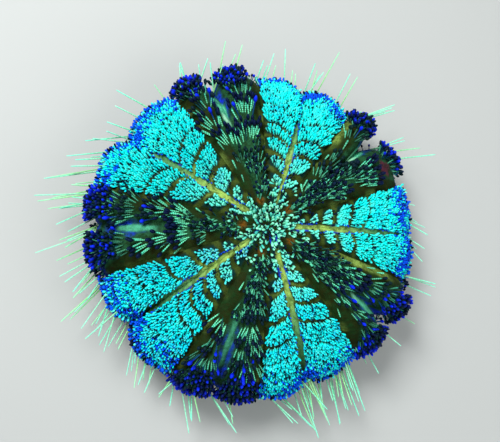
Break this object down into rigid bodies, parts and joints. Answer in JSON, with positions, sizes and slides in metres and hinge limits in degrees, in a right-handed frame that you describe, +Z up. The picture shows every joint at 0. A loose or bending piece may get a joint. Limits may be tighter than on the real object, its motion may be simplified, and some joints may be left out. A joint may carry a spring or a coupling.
{
  "type": "fire urchin",
  "caption": "Life-size still model of a fire urchin: soft flattened body in five pale and five dark fields, clothed in short venom spines and fringed with long needle spines.",
  "frame": {"origin": "middle of the whole animal's outline, spines included, on the floor that its feet stand on", "axes": "+Z up from the mouth to the apical disc; +X along the first pale field, the one that points to the right in the picture"},
  "size_m": [0.216, 0.2148, 0.0552],
  "materials": {
    "pale": "satin, bright turquoise spines over olive skin",
    "dark": "satin, navy and royal blue venom bulbs over dark brown skin",
    "apical": "satin, pale green spines",
    "membrane": "leathery olive brown skin",
    "tooth": "ivory"
  },
  "bodies": {
    "root": {"apical_disc": "apical", "pale_field_1": "pale", "pale_field_2": "pale", "pale_field_3": "pale", "pale_field_4": "pale", "pale_field_5": "pale", "dark_field_1": "dark", "dark_field_2": "dark", "dark_field_3": "dark", "dark_field_4": "dark", "dark_field_5": "dark", "peristome": "membrane", "tooth_1": "tooth", "tooth_2": "tooth", "tooth_3": "tooth", "tooth_4": "tooth", "tooth_5": "tooth"}
  },
  "joints": []
}
